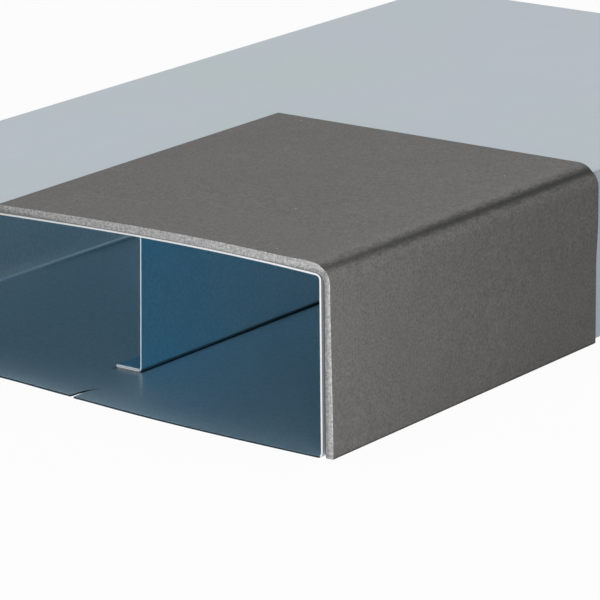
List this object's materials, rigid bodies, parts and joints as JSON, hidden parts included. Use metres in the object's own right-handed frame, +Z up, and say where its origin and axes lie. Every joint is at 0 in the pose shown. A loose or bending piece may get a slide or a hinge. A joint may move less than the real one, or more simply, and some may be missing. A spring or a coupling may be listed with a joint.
{
  "type": "flat duct connector",
  "caption": "Flat folded sheet-metal air duct connector with an upright dividing web inside, a seam along the floor and a foam pad over a top corner.",
  "frame": {"origin": "on the surface that the part rests on, under the middle of its whole box", "axes": "+X across the duct to the foam-covered wall, +Y along the duct from the foam-covered front end, +Z up"},
  "size_m": [0.2038, 0.34, 0.0588],
  "materials": {
    "galvanised_sheet": "smooth zinc with faint cloudy patches",
    "closed_cell_foam": "matt fine-grained skin, paler porous cut edges"
  },
  "bodies": {
    "root": {"duct_shell": "galvanised_sheet", "divider_web": "galvanised_sheet", "foam_wrap": "closed_cell_foam"}
  },
  "joints": []
}
